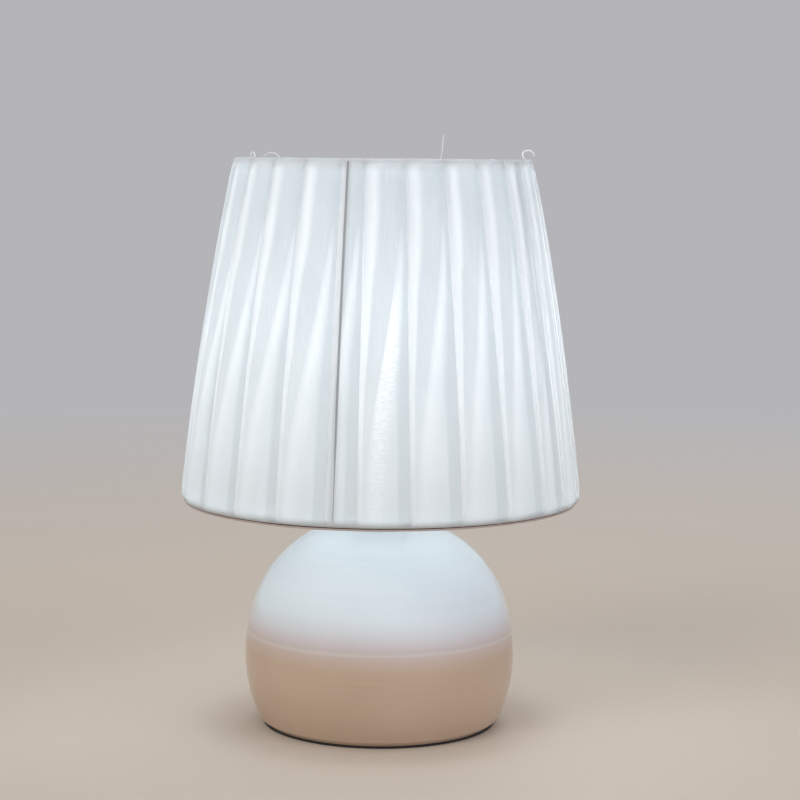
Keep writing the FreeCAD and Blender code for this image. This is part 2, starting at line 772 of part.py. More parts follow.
def make_spider_arms():
    """Wire from under the fitter's rim, bent once, down to the top of the bottom ring."""
    arm = V["arm_wire"]
    level = fitter_low.value - arm
    ring = Vector(taper_at(bottom_ring_z, ring_inset).value, 0, bottom_ring_z.value)
    start = Vector(V["ring_radius"] + V["fitter_gap"], 0, level)
    corner = Vector(V["ring_radius"] + V["arm_flat"], 0, level)
    along = Vector(1, 0, 0)
    slope = (ring + Vector(0, 0, V["frame_wire"] + arm) - corner).normalize()
    above = Vector(-slope.z, 0, slope.x)
    seat = ring + above * (V["frame_wire"] + V["frame_gap"] + arm)
    end = seat - slope * V["arm_end"]
    slope = (end - corner).normalize()
    turn = along.getAngle(slope)
    reach = V["arm_bend"] * math.tan(turn / 2)
    before = corner - along * reach
    after = corner + slope * reach
    inward = (slope - along).normalize()
    middle = corner + inward * V["arm_bend"] * (1 / math.cos(turn / 2) - 1)
    shape = swept_wire([
        Part.LineSegment(start, before).toShape(), Part.Arc(before, middle, after).toShape(),
        Part.LineSegment(after, end).toShape()], arm)
    count = int(V["arm_count"])
    for number in range(count):
        thing = feature(f"spider_arm_{number + 1}", shape)
        thing.Placement = turn_about_z(V["arm_angle"] + 360 / count * number)


def make_hems():
    """Cloth edge turned over each ring to the inside."""
    cloth = D["cloth"]
    leg_out = ring_inset + D["frame_wire"] + D["frame_gap"]
    for name, edge, inner_edge, width in (
            ("bottom_hem", shade_low, hem_low, D["bottom_hem_width"]),
            ("top_hem", shade_top, hem_high, -D["top_hem_width"])):
        outer = taper_at(edge, Size(0.0, "0"))
        inner = taper_at(edge, leg_out)
        far = edge + width
        drift = taper_at(far, leg_out) - taper_at(edge, leg_out)
        turned(name, [
            (outer, edge), (outer, inner_edge), (inner, inner_edge), (inner + drift, far),
            (inner + drift - cloth, far), (inner - cloth, edge)])


# Pleated cloth

def pleat_folds(first_fold, level_radius, cloth_per_pleat):
    """Centre line of one panel's cloth at one level: (distance along the panel, distance off the liner)."""
    count = int(V["pleats_in_panel"])
    panel = math.radians(360 / V["panel_count"]) * level_radius
    pitch = panel / count
    underlay = (cloth_per_pleat - pitch) / 2
    start = V["seam_gap"] / 2
    end = panel - V["seam_gap"] / 2
    step = V["cloth"] + V["layer_gap"]
    low = V["liner_gap"] + V["cloth"] / 2
    middle = low + step
    high = middle + step
    first = math.radians(first_fold) * level_radius
    way = [(start, low), ((start + first) / 2, low)]
    for number in range(count):
        fold = first + pitch * number
        room = end - step - fold
        tuck = min(underlay, room)
        bottom = min(fold + pitch - step, end)
        way += [(fold + tuck, low), (fold + tuck, middle), (fold, middle), (fold, high)]
        lift = fold + tuck + step / 2
        if lift + step < bottom:
            way += [(lift, high), ((lift + bottom) / 2, (high + low) / 2 + step / 4), (bottom, low)]
        else:
            way += [((fold + end) / 2, high), ((fold + 2 * end) / 3, high), (end, high)]
    return way


def offset_way(way, distance):
    """The centre line moved sideways, with mitred corners."""
    points = [Vector(x, y, 0) for x, y in way]
    moved = []
    for index, point in enumerate(points):
        before = (point - points[index - 1]).normalize() if index else None
        after = (points[index + 1] - point).normalize() if index + 1 < len(points) else None
        before = before or after
        after = after or before
        sum_of_sides = Vector(-before.y - after.y, before.x + after.x, 0)
        side = sum_of_sides.normalize()
        stretch = 1 / side.dot(Vector(-before.y, before.x, 0))
        moved.append(point + side * distance * stretch)
    return moved


def panel_wire(first_fold, height, cloth_per_pleat):
    """Closed outline of the pleated cloth at one height, wrapped round the liner."""
    around = bowed_radius(stack.value, height)
    way = pleat_folds(first_fold, around, cloth_per_pleat)
    half = V["cloth"] / 2
    border = offset_way(way, half) + offset_way(way, -half)[::-1]
    points = []
    for spot in border:
        angle = spot.x / around
        radius = around + spot.y
        points.append(Vector(radius * math.cos(angle), radius * math.sin(angle), height))
    return Part.makePolygon(points + points[:1])


def make_pleated_panels():
    low = hem_low.value
    high = hem_high.value
    pitch_angle = math.radians(360 / V["panel_count"] / V["pleats_in_panel"])
    cloth_per_pleat = bowed_radius(stack.value, low) * pitch_angle + 2 * V["underlay_width"]
    levels = [low, middle_height.value, high]
    panel_width = cloth_per_pleat * V["pleats_in_panel"]
    print(f"cloth per pleat {cloth_per_pleat:.1f} mm, panel {panel_width:.0f} mm wide")
    for number in range(int(V["panel_count"])):
        first_fold = V[f"fold_{number + 1}_angle"]
        wires = [panel_wire(first_fold, level, cloth_per_pleat) for level in levels]
        shape = Part.makeLoft(wires, True, True)
        panel = feature(f"pleated_panel_{number + 1}", shape)
        panel.Placement = turn_about_z(V["seam_angle"] + 360 / V["panel_count"] * number)


def make_shade():
    make_liner()
    make_frame_ring("bottom_ring", taper_at(bottom_ring_z, ring_inset), bottom_ring_z)
    make_frame_ring("top_ring", taper_at(top_ring_z, ring_inset), top_ring_z)
    make_uprights()
    make_fitter()
    make_spider_arms()
    make_hems()
    make_pleated_panels()


def check(thing):
    bad = [state for state in thing.State if state in ("Invalid", "Error")]
    shape = getattr(thing, "Shape", None)
    if bad or (shape is not None and shape.isNull()):
        raise RuntimeError(f"{thing.Label} is {bad or 'empty'}")


def write_parts():
    doc.recompute()
    for thing in doc.Objects:
        if thing.isDerivedFrom("Part::Feature") or thing.TypeId == "PartDesign::Body":
            check(thing)
    os.makedirs("parts", exist_ok=True)
    for thing in subparts:
        if not thing.Shape.isValid() or thing.Shape.Volume <= 0:
            raise RuntimeError(f"{thing.Label} has no valid solid")
        thing.Shape.exportStep(f"parts/{thing.Label}.step")
    print(f"{len(subparts)} sub-parts written")


make_ceramic_body()
make_underside()
make_grommet()
make_neck_clamp()
make_lampholder()
make_shade_rings()
make_bulb()
make_shade()
write_parts()
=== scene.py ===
import bpy
import math
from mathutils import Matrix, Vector, noise


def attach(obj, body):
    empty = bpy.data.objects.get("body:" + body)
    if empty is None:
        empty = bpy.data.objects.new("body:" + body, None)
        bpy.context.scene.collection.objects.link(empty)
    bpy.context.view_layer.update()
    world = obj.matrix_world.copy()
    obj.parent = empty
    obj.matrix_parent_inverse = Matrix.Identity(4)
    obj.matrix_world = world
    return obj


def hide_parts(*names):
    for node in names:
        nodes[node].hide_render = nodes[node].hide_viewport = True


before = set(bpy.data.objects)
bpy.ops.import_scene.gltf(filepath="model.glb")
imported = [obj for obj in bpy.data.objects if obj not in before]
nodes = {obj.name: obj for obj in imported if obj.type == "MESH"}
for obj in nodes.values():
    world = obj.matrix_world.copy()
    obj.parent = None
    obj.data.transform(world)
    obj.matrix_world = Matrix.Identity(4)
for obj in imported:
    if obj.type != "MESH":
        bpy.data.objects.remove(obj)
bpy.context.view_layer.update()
MM = 0.001

# Sizes of the shade in millimetres and degrees, as in the part except SEAM_GAP, which is 0.5 there
SHADE_BOTTOM = 113.0
SHADE_HEIGHT = 167.0
SHADE_TOP = SHADE_BOTTOM + SHADE_HEIGHT
BOTTOM_RADIUS = 100.0
TOP_RADIUS = 74.0
BOW = 1.6
LAYERS = 1.9
PANELS = 5
PLEATS = 5
SEAM_ANGLE = 257.6
SEAM_GAP = 1.1
FIRST_FOLDS = (6.7, 4.2, 9.0, 10.5, 12.5)
PANEL_ANGLE = 360 / PANELS
PITCH_ANGLE = PANEL_ANGLE / PLEATS


def smooth(edge_0, edge_1, value):
    share = min(max((value - edge_0) / (edge_1 - edge_0), 0), 1)
    return share * share * (3 - 2 * share)


def liner_radius(height):
    """The liner's outside as a smooth bow. The solid liner is straight in two parts, up to 0.4 mm further in."""
    share = (height - SHADE_BOTTOM) / SHADE_HEIGHT
    taper = BOTTOM_RADIUS + (TOP_RADIUS - BOTTOM_RADIUS) * share
    return taper + 4 * BOW * share * (1 - share) - LAYERS


# Materials

def link(tree, source, target):
    tree.links.new(source, target)


def put(tree, value, socket):
    """Write a number or a colour into a socket, or link an output to it."""
    if isinstance(value, (int, float)):
        socket.default_value = value
    elif isinstance(value, tuple):
        socket.default_value = (*value, 1)
    else:
        link(tree, value, socket)


def new_material(name, roughness=0.5, **values):
    material = bpy.data.materials.new(name)
    material.use_nodes = True
    shader = material.node_tree.nodes["Principled BSDF"]
    shader.inputs["Roughness"].default_value = roughness
    for key, value in values.items():
        shader.inputs[key.replace("_", " ")].default_value = value
    return material, material.node_tree, shader


def coordinates(tree):
    return tree.nodes.new("ShaderNodeTexCoord").outputs["Object"]


def parts(tree, source):
    """The X, Y and Z of a vector."""
    node = tree.nodes.new("ShaderNodeSeparateXYZ")
    link(tree, source, node.inputs[0])
    return node.outputs["X"], node.outputs["Y"], node.outputs["Z"]


def scaled(tree, source, scale):
    node = tree.nodes.new("ShaderNodeMapping")
    link(tree, source, node.inputs["Vector"])
    node.inputs["Scale"].default_value = scale
    return node.outputs["Vector"]


def noise_of(tree, source, scale, detail=2.0, roughness=0.5):
    node = tree.nodes.new("ShaderNodeTexNoise")
    link(tree, source, node.inputs["Vector"])
    node.inputs["Scale"].default_value = scale
    node.inputs["Detail"].default_value = detail
    node.inputs["Roughness"].default_value = roughness
    return node.outputs["Fac"]


def calc(tree, operation, *values):
    node = tree.nodes.new("ShaderNodeMath")
    node.operation = operation
    for socket, value in zip(node.inputs, values):
        put(tree, value, socket)
    return node.outputs[0]


def plus(tree, first, *others):
    for other in others:
        first = calc(tree, "ADD", first, other)
    return first


def minus(tree, first, second):
    return calc(tree, "SUBTRACT", first, second)


def times(tree, first, second):
    return calc(tree, "MULTIPLY", first, second)


def ramp(tree, source, low, high, to_low=0.0, to_high=1.0, kind="SMOOTHSTEP"):
    node = tree.nodes.new("ShaderNodeMapRange")
    node.interpolation_type = kind
    for name, value in (("Value", source), ("From Min", low), ("From Max", high),
                        ("To Min", to_low), ("To Max", to_high)):
        put(tree, value, node.inputs[name])
    return node.outputs[0]


def blend_of(tree, share, low, high):
    """low where the share is 0, high where it is 1."""
    return ramp(tree, share, 0.0, 1.0, low, high, "LINEAR")


def near(tree, source, place, inner, outer):
    """1 up to the inner distance from a place, 0 beyond the outer one."""
    return ramp(tree, calc(tree, "ABSOLUTE", minus(tree, source, place)), inner, outer, 1, 0)


def ridges(tree, source, pitch):
    """A wave with this pitch in metres."""
    return calc(tree, "SINE", times(tree, source, math.tau / pitch))


def mixed(tree, share, first, second):
    node = tree.nodes.new("ShaderNodeMix")
    node.data_type = "RGBA"
    for name, value in (("Factor", share), ("A", first), ("B", second)):
        put(tree, value, node.inputs[name])
    return node.outputs["Result"]


def bump(tree, shader, height, strength, distance):
    node = tree.nodes.new("ShaderNodeBump")
    node.inputs["Strength"].default_value = strength
    node.inputs["Distance"].default_value = distance
    link(tree, height, node.inputs["Height"])
    link(tree, node.outputs["Normal"], shader.inputs["Normal"])


def curve_of(tree, source, points):
    """A smooth line through points (input, output), both from 0 to 1."""
    node = tree.nodes.new("ShaderNodeFloatCurve")
    link(tree, source, node.inputs["Value"])
    line = node.mapping.curves[0]
    line.points[0].location = points[0]
    line.points[1].location = points[-1]
    for place in points[1:-1]:
        line.points.new(*place)
    for point in line.points:
        point.handle_type = "AUTO_CLAMPED"
    node.mapping.update()
    return node.outputs[0]


def uv_of(tree, name):
    """A UV map and the two numbers in it."""
    uv = tree.nodes.new("ShaderNodeUVMap")
    uv.uv_map = name
    first, second, _ = parts(tree, uv.outputs["UV"])
    return uv.outputs["UV"], first, second


def value_of(tree, name):
    """A number held on the points of the mesh."""
    node = tree.nodes.new("ShaderNodeAttribute")
    node.attribute_name = name
    return node.outputs["Fac"]


def show_blend(tree, share, first, second, output):
    """Show the first shader where the share is 0 and the second where it is 1."""
    blend = tree.nodes.new("ShaderNodeMixShader")
    put(tree, share, blend.inputs["Fac"])
    link(tree, first.outputs[0], blend.inputs[1])
    link(tree, second.outputs[0], blend.inputs[2])
    link(tree, blend.outputs[0], output.inputs["Surface"])


def let_through(tree, shader, colour, share):
    """Let this share of the light through the surface, in this colour."""
    through = tree.nodes.new("ShaderNodeBsdfTranslucent")
    put(tree, colour, through.inputs["Color"])
    show_blend(tree, share, shader, through, tree.nodes["Material Output"])


def darker(colour, share):
    return tuple(channel * (1 - share) for channel in colour)


def plain(name, colour, roughness, speckle=0.06, grain=60.0, depth=0.15, **values):
    """A finished surface: a base colour that varies a little, roughness that varies and a fine bump."""
    material, tree, shader = new_material(name, roughness, **values)
    place = coordinates(tree)
    patches = noise_of(tree, place, grain, 3)
    fine = noise_of(tree, place, grain * 30, 2)
    body = mixed(tree, ramp(tree, patches, 0.3, 0.7), darker(colour, speckle), colour)
    link(tree, body, shader.inputs["Base Color"])
    link(tree, ramp(tree, patches, 0.3, 0.7, max(roughness - 0.06, 0.02), min(roughness + 0.06, 1)),
         shader.inputs["Roughness"])
    bump(tree, shader, fine, depth, 0.0002)
    return material


def threaded(name, colour, roughness, pitch, depth, **values):
    """Metal or plastic with thread ridges round Z."""
    material, tree, shader = new_material(name, roughness, **values)
    place = coordinates(tree)
    _, _, height = parts(tree, place)
    patches = noise_of(tree, place, 120, 3)
    link(tree, mixed(tree, ramp(tree, patches, 0.35, 0.7), darker(colour, 0.18), colour), shader.inputs["Base Color"])
    bump(tree, shader, ridges(tree, height, pitch), depth, pitch * 0.4)
    return material


# Heights in metres: the painted warm shade of the lower half reaches up to the first, and the painted bulb light on
# the top starts at the second
GLAZE_WARM_SHADE_TO = 0.036
GLAZE_BULB_LIT_FROM = 0.065
# Heights of the dark joint line and of the painted highlight on the ridge beside it
GLAZE_LINE = 0.0486
GLAZE_RIDGE_HIGHLIGHT = 0.0468


def glaze():
    """White glaze with light painted in: cool white on its top, where the bulb lights it, and a warm, darker painted
    shade in its lower half, which the bulb does not reach. Faint turning rings and a thin double line round the
    belly: a dark joint line and a painted highlight on its ridge.
    """
    material, tree, shader = new_material("glossy_glaze", 0.09, IOR=1.5)
    place = coordinates(tree)
    _, _, height = parts(tree, place)
    drift = times(tree, minus(tree, noise_of(tree, place, 9, 2), 0.5), 0.006)
    # Painted light: the white glaze is painted cool white where the bulb lights its top, and warm and darker in its
    # lower half, below the bulb's light
    upper = ramp(tree, plus(tree, height, drift), GLAZE_WARM_SHADE_TO, GLAZE_BULB_LIT_FROM)
    cloudy = ramp(tree, noise_of(tree, place, 22, 4), 0.3, 0.75)
    white = mixed(tree, cloudy, (0.745, 0.82, 0.86), (0.785, 0.85, 0.88))
    warm_shade = mixed(tree, cloudy, (0.53, 0.38, 0.27), (0.57, 0.415, 0.30))
    between = mixed(tree, cloudy, (0.63, 0.56, 0.555), (0.66, 0.60, 0.60))
    body = mixed(tree, ramp(tree, upper, 0.0, 0.5, kind="LINEAR"), warm_shade, between)
    body = mixed(tree, ramp(tree, upper, 0.5, 1.0, kind="LINEAR"), body, white)
    rings = noise_of(tree, scaled(tree, place, (1.5, 1.5, 420)), 1.0, 3, 0.6)
    streaks = noise_of(tree, scaled(tree, place, (12, 12, 900)), 1.0, 2, 0.6)
    turning = plus(tree, times(tree, rings, 0.7), times(tree, streaks, 0.3))
    body = mixed(tree, ramp(tree, turning, 0.35, 0.68, 0.08, 0.0), body, (0.60, 0.60, 0.61))
    # A dark joint line round the belly, and beside it a painted highlight on the ridge
    line = near(tree, height, GLAZE_LINE, 0.0002, 0.0016)
    ridge_highlight = near(tree, height, GLAZE_RIDGE_HIGHLIGHT, 0.0002, 0.0012)
    body = mixed(tree, times(tree, line, 0.16), body, (0.50, 0.45, 0.42))
    body = mixed(tree, times(tree, ridge_highlight, 0.15), body, (0.86, 0.84, 0.83))
    link(tree, body, shader.inputs["Base Color"])
    link(tree, ramp(tree, noise_of(tree, place, 35, 3), 0.3, 0.7, 0.07, 0.12), shader.inputs["Roughness"])
    relief = minus(tree, times(tree, turning, 0.12), times(tree, line, 0.15))
    bump(tree, shader, relief, 0.16, 0.0005)
    return material


# Points (share of the height from the top down, share of the pleat's width from the fold) of the bright strip's
# border and of the slanting crease that shows through the cloth
STRIP = [(0.0, 0.31), (0.24, 0.27), (0.34, 0.19), (0.50, 0.13), (0.67, 0.07), (0.80, 0.055), (1.0, 0.05)]
CREASE = [(0.0, 1.0), (0.075, 0.97), (0.24, 0.80), (0.34, 0.69), (0.50, 0.50), (0.67, 0.30), (0.80, 0.19),
          (1.0, 0.10)]
THREAD_PITCH = 0.0005
FINE_THREAD_PITCH = 0.00042


def strip_share(down):
    """The part of a pleat that lies over the tuck behind it."""
    for (low, first), (high, second) in zip(STRIP, STRIP[1:]):
        if down <= high:
            return first + (second - first) * max(down - low, 0) / (high - low)
    return STRIP[-1][1]


def pleated_cloth():
    """Sheer woven cloth whose layers show through against the lit bulb, their light and shade painted into its colour
    and into the light it lets through.

    Cell holds the place in the pleat: across from its fold to the next one, and down from the top rim. The shade is
    0 for the brightest cloth and 1 for the darkest.
    """
    material, tree, shader = new_material("sheer_cloth", 0.85)
    shader.inputs["Sheen Weight"].default_value = 0.25
    shader.inputs["Sheen Roughness"].default_value = 0.4
    shader.inputs["Specular IOR Level"].default_value = 0.2
    _, across, down = uv_of(tree, "Cell")
    cloth, along, level = uv_of(tree, "Cloth")
    crisp = ramp(tree, value_of(tree, "beats"), 0.15, 1.0)
    # A painted highlight along each fold's edge, which also lets more light through
    edge = times(tree, ramp(tree, across, 0.02, 0.09, 1, 0), ramp(tree, down, 0.6, 1.0, 1.0, 0.85))

    # The strip over the tuck is painted bright and fades out to its right
    blur = ramp(tree, down, 0.0, 0.6, 0.13, 0.025)
    past_strip = ramp(tree, minus(tree, across, curve_of(tree, down, STRIP)), times(tree, blur, -1), blur)

    # Past the slanting crease the cloth is painted brighter, with a painted bright line along it, sharpest in the
    # open weave
    past_crease = minus(tree, across, curve_of(tree, down, CREASE))
    wedge_start = ramp(tree, past_crease, blend_of(tree, crisp, -0.06, -0.02), blend_of(tree, crisp, 0.10, 0.05))
    wedge = times(tree, wedge_start, ramp(tree, past_crease, 0.06, 0.48, 1, 0))
    opened = times(tree, wedge, blend_of(tree, crisp, 0.62, 1.0))
    line = times(tree, near(tree, past_crease, 0.0, 0.004, 0.022), blend_of(tree, crisp, 0.15, 0.45))
    shade = minus(tree, times(tree, past_strip, minus(tree, 1.0, opened)), line)
    shade = times(tree, shade, ramp(tree, down, 0.3, 1.0, 0.85, 0.45))

    # The tuck behind the far side of the pleat is a band of painted shade, and a painted shadow of the next fold
    # darkens the cloth towards it
    softness = ramp(tree, down, 0.45, 0.98, 0.16, 0.035)
    past_tuck = minus(tree, across, ramp(tree, down, 0.35, 1.0, 0.80, 0.745))
    tuck = ramp(tree, past_tuck, times(tree, softness, -1), softness)
    tuck = times(tree, tuck, ramp(tree, down, 0.1, 0.8, 0.3, 1.1))
    fold_shadow = times(tree, ramp(tree, across, 0.82, 1.0), 0.85)

    # Threads, clouds and the short marks of the open weave
    streaks = noise_of(tree, scaled(tree, cloth, (1400, 60, 1)), 1.0, 3, 0.6)
    clouds = noise_of(tree, scaled(tree, cloth, (90, 30, 1)), 1.0, 2)
    marks = noise_of(tree, scaled(tree, cloth, (280, 1150, 1)), 1.0, 1, 0.4)
    shade = plus(tree, shade, times(tree, tuck, 0.6), fold_shadow,
                 ramp(tree, streaks, 0.2, 0.8, -0.14, 0.14, "LINEAR"),
                 ramp(tree, clouds, 0.2, 0.8, -0.07, 0.07, "LINEAR"),
                 times(tree, ramp(tree, marks, 0.40, 0.64, 0.26, -0.45), times(tree, crisp, wedge)))

    # Both rims are painted brighter and let more light through, making up for the light that the wires and bindings
    # hold back from inside
    rims = plus(tree, ramp(tree, down, 0.0, 0.035, 1.0, 0.0), ramp(tree, down, 0.97, 0.995, 0.0, 0.8))
    shade = times(tree, shade, minus(tree, 1.0, times(tree, rims, 0.9)))
    shade = calc(tree, "MINIMUM", calc(tree, "MAXIMUM", shade, 0.0), 1.0)

    low = ramp(tree, down, 0.45, 1.0)
    bright = mixed(tree, low, (0.98, 0.985, 0.99), (0.935, 0.95, 0.955))
    dark = mixed(tree, low, (0.665, 0.695, 0.71), (0.78, 0.80, 0.805))
    colour = mixed(tree, edge, mixed(tree, shade, bright, dark), (0.985, 0.99, 0.995))
    link(tree, colour, shader.inputs["Base Color"])
    weave = times(tree, ridges(tree, along, FINE_THREAD_PITCH), ridges(tree, level, THREAD_PITCH))
    bump(tree, shader, plus(tree, weave, times(tree, streaks, 1.2)), 0.22, 0.00012)

    # The layers under a fold let nearly all the light through, almost untinted, as their shade is painted above
    under = value_of(tree, "under")
    # Painted light: more light is let through towards the bottom and the top rim, at the fold edges and at the rims
    single = plus(tree, ramp(tree, down, 0.6, 1.0, 0.54, 0.80), ramp(tree, down, 0.0, 0.3, 0.17, 0.0),
                  times(tree, edge, 0.12), times(tree, rims, 0.2))
    let_through(tree, shader, mixed(tree, under, colour, (0.99, 0.99, 0.99)),
                ramp(tree, under, 0.0, 1.0, single, 0.985))
    return material


def woven(name, colour, share, streak=0.14, edge=None, inside=None):
    """Plain narrow cloth that lets a share of the light through.

    Where edge and inside are given, the Cell map marks the edge with 1 and the inner leg with -1.
    """
    material, tree, shader = new_material(name, 0.9)
    shader.inputs["Sheen Weight"].default_value = 0.2
    cloth, along, level = uv_of(tree, "Cloth")
    streaks = noise_of(tree, scaled(tree, cloth, (900, 900, 1)), 1.0, 3, 0.6)
    body = mixed(tree, ramp(tree, streaks, 0.3, 0.7), darker(colour, streak), colour)
    if edge:
        _, mark, _ = uv_of(tree, "Cell")
        body = mixed(tree, ramp(tree, mark, 0.45, 0.55), body, edge)
        body = mixed(tree, ramp(tree, mark, -0.9, -0.1, 1, 0), body, inside)
        share = ramp(tree, mark, -0.9, -0.1, 0.9, share)
    link(tree, body, shader.inputs["Base Color"])
    weave = plus(tree, ridges(tree, along, THREAD_PITCH), ridges(tree, level, THREAD_PITCH))
    bump(tree, shader, weave, 0.25, 0.00012)
    let_through(tree, shader, body, share)
    return material


def liner_sheet():
    """Translucent lampshade sheet with a faint fibre pattern."""
    material, tree, shader = new_material("liner_sheet", 0.6)
    place = coordinates(tree)
    fibres = noise_of(tree, scaled(tree, place, (140, 140, 35)), 1.0, 4, 0.7)
    colour = mixed(tree, ramp(tree, fibres, 0.3, 0.7), (0.93, 0.94, 0.945), (0.965, 0.97, 0.972))
    link(tree, colour, shader.inputs["Base Color"])
    bump(tree, shader, fibres, 0.12, 0.0003)
    let_through(tree, shader, colour, 0.80)
    return material


def lit_globe():
    """Frosted diffuser of a lamp that is switched on."""
    material, tree, shader = new_material("lit_diffuser", 0.45)
    place = coordinates(tree)
    frost = noise_of(tree, place, 400, 2)
    link(tree, mixed(tree, frost, (0.74, 0.78, 0.82), (0.80, 0.83, 0.86)), shader.inputs["Base Color"])
    shader.inputs["Emission Color"].default_value = (0.86, 0.94, 1.0, 1)
    shader.inputs["Emission Strength"].default_value = 0.30
    bump(tree, shader, frost, 0.1, 0.0002)
    return material


# Meshes

def add_object(name, data):
    made = bpy.data.objects.new(name, data)
    bpy.context.scene.collection.objects.link(made)
    return made


def grid_piece(name, rows, material, closed=False, maps=None, values=None):
    """A sheet from rows of points in millimetres. maps and values hold numbers for each point."""
    count = len(rows[0])
    points = [tuple(v * MM for v in point) for row in rows for point in row]
    faces = []
    for i in range(len(rows) - 1):
        for j in range(count if closed else count - 1):
            k = (j + 1) % count
            faces.append((i * count + j, i * count + k, (i + 1) * count + k, (i + 1) * count + j))
    mesh = bpy.data.meshes.new(name)
    mesh.from_pydata(points, [], faces)
    for map_name, numbers in (maps or {}).items():
        flat = [pair for row in numbers for pair in row]
        layer = mesh.uv_layers.new(name=map_name)
        for polygon in mesh.polygons:
            for loop in polygon.loop_indices:
                layer.data[loop].uv = flat[mesh.loops[loop].vertex_index]
    for value_name, numbers in (values or {}).items():
        attribute = mesh.attributes.new(value_name, "FLOAT", "POINT")
        for index, number in enumerate(number for row in numbers for number in row):
            attribute.data[index].value = number
    for polygon in mesh.polygons:
        polygon.use_smooth = True
    mesh.materials.append(material)
    piece = add_object(name, mesh)
    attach(piece, "shade")
    return piece


def around(angle_degrees, radius, height):
    angle = math.radians(angle_degrees)
    return (radius * math.cos(angle), radius * math.sin(angle), height)


# Pleated panels, in millimetres and degrees

FACE_STEPS = 18
LIP_STEPS = 6
LEVELS = 44
LEVEL_SPREAD = 1.25
LOW_LEVEL = SHADE_BOTTOM + 0.35
HIGH_LEVEL = SHADE_TOP - 0.7
TURNED_LEVELS = (0.45, 0.7, 0.85, 0.94)
HEM_ROLL = 2.4
TOP_ROLL = 1.0
ROLL_TOP = SHADE_TOP + 0.25
LINER_GAP = 0.25
LOOP_START = 0.35
LOOP_REACH = 0.75
MOIRE_ANGLE = 272.5
MOIRE_SPREAD = 4.5


def lip_height(down):
    """How far a fold's free edge stands off the lowest layer. It is pressed flatter at the rims."""
    share = min(max(down, 0), 1)
    pressed = 0.5 * smooth(0.95, 1.0, share) + 0.35 * smooth(0.05, 0.0, share)
    return (1.25 + 0.9 * math.sin(math.pi * share) ** 0.8) * (1 - pressed)


def rim_inset(height):
    """How far the cloth has turned in, in one curve at the bottom wire and a smaller one at the top wire."""
    low = HEM_ROLL - min(height - SHADE_BOTTOM, HEM_ROLL)
    high = TOP_ROLL - min(ROLL_TOP - height, TOP_ROLL)
    return (HEM_ROLL - math.sqrt(HEM_ROLL ** 2 - low ** 2)
            + TOP_ROLL - math.sqrt(TOP_ROLL ** 2 - high ** 2))


def face_height(share):
    """How high a pleat's face stands, from 1 at its fold down to 0 at the next one."""
    return max(1 - smooth(0.0, 1.0, share) * 0.55 - share * 0.45, 0)


def cell_columns(fold, width, tuck, rise, shares):
    """One pleat, from the layers under the fold to the foot of its face.

    Each column is (distance, height off the liner, share of the cell, 1 where the cloth is under a fold).
    """
    back = LINER_GAP + 0.45
    columns = [(fold + tuck * 0.55, LINER_GAP, 1.0, 1), (fold + tuck, LINER_GAP + 0.05, 1.0, 1),
               (fold + tuck + 0.2, LINER_GAP + 0.25, 1.0, 1), (fold + tuck, back, 1.0, 1),
               (fold + tuck * 0.5, back + 0.05, 0.0, 1)]
    loop = (LINER_GAP + rise - back) / 2
    centre = back + loop
    for step in range(LIP_STEPS + 1):
        turn = math.pi * step / LIP_STEPS
        place = fold + LOOP_START - LOOP_REACH * math.sin(turn)
        columns.append((place, centre - loop * math.cos(turn), 0.0, 1))
    for step in range(1, FACE_STEPS + 1):
        share = shares * (step / FACE_STEPS)
        height = LINER_GAP + rise * face_height(share) + 0.35 * math.sin(math.pi * share) * (1 - share)
        columns.append((fold + LOOP_START + (width - LOOP_START) * step / FACE_STEPS, height, share, 0))
    return columns


def panel_columns(number, height):
    """The whole panel's line at one height."""
    down = 1 - (height - SHADE_BOTTOM) / SHADE_HEIGHT
    radius = liner_radius(height)
    arc = math.radians(1) * radius
    pitch = PITCH_ANGLE * arc
    tuck = max(strip_share(down) * pitch, 1.6)
    first = FIRST_FOLDS[number]
    start = SEAM_GAP / 2
    end = PANEL_ANGLE * arc - SEAM_GAP / 2
    rise = lip_height(down)
    lead_share = 1 - first / PITCH_ANGLE
    columns = []
    for step in range(FACE_STEPS + 1):
        share = lead_share + (1 - lead_share) * step / FACE_STEPS
        place = start + (first * arc - start - 0.2) * step / FACE_STEPS
        columns.append((place, LINER_GAP + rise * 0.8 * face_height(share) * smooth(0, 2.5, place), share, 0))
    for pleat in range(PLEATS):
        wander = noise.noise(Vector((number * 7.3 + pleat * 3.1, height * 0.012, 0.5))) * 0.5
        fold = (first + PITCH_ANGLE * pleat) * arc + wander
        last = pleat == PLEATS - 1
        width = end - fold if last else pitch
        shares = width / pitch
        room = max(end - fold - 0.8, 0.6)
        local = rise * (1 + 0.25 * noise.noise(Vector((number * 5.7 + pleat, height * 0.02, 7.5))))
        local *= min(1, 0.45 + shares)
        part = cell_columns(fold, width, min(tuck, room), local, min(shares, 1.0))
        if last:
            part[-1] = (part[-1][0], 0.3, part[-1][2], 0)
        columns += part
    return columns, radius, down


